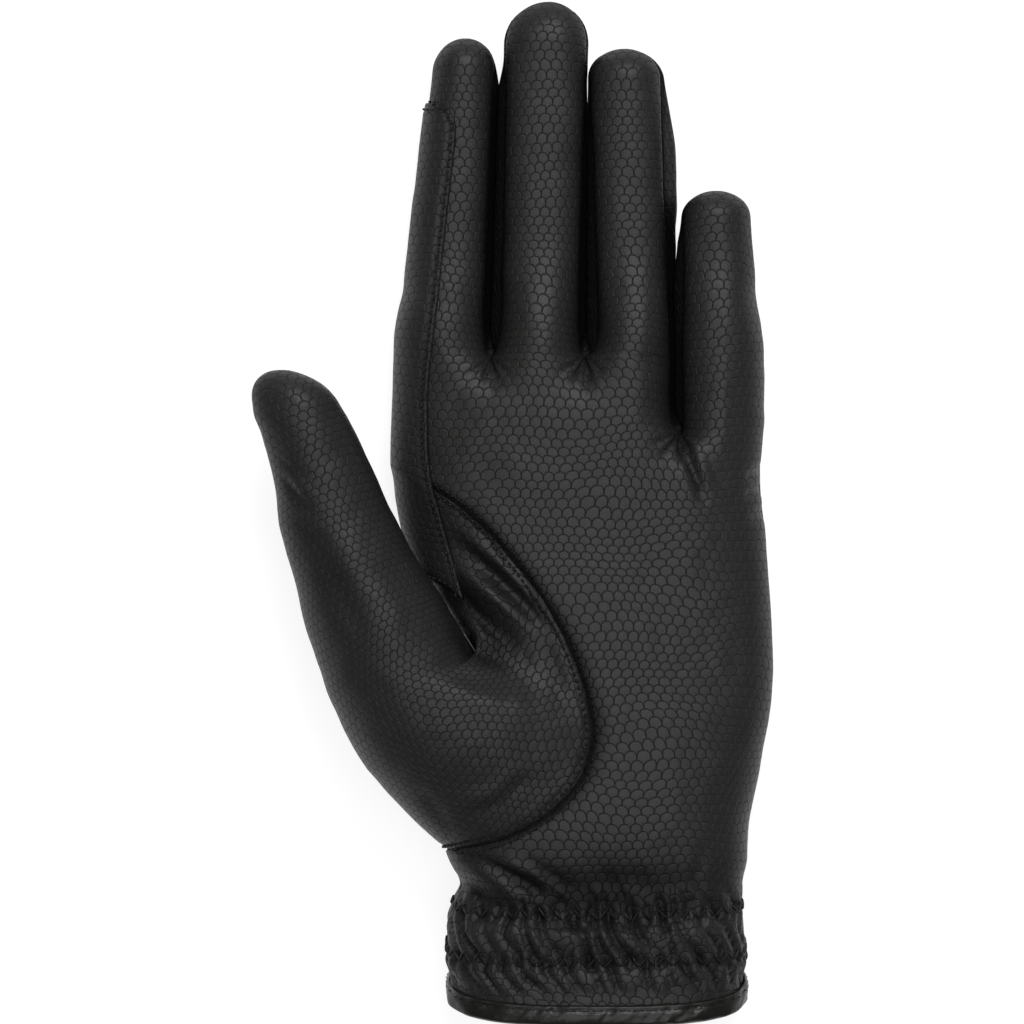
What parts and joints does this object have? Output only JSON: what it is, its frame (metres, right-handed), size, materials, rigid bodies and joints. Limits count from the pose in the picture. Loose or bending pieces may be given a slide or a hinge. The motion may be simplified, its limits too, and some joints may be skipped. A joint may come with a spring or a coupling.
{
  "type": "riding glove",
  "caption": "Left-hand riding glove in black scale-grained synthetic leather, with fourchettes, a set-in thumb, an index patch and an elasticated wrist.",
  "frame": {"origin": "middle of the footprint, on the surface the glove lies on", "axes": "+X towards the little finger, +Y along the fingers, +Z out of the palm"},
  "size_m": [0.1242, 0.244, 0.0384],
  "materials": {
    "grained_leather": "semi-matt, embossed with an even scale grain",
    "smooth_leather": "satin, fine smooth grain"
  },
  "bodies": {
    "root": {"palm_panel": "grained_leather", "back_panel": "grained_leather", "fourchette_index_middle": "grained_leather", "fourchette_middle_ring": "grained_leather", "fourchette_ring_little": "grained_leather", "thumb": "grained_leather", "index_patch": "grained_leather", "hem_binding": "smooth_leather"}
  },
  "joints": []
}
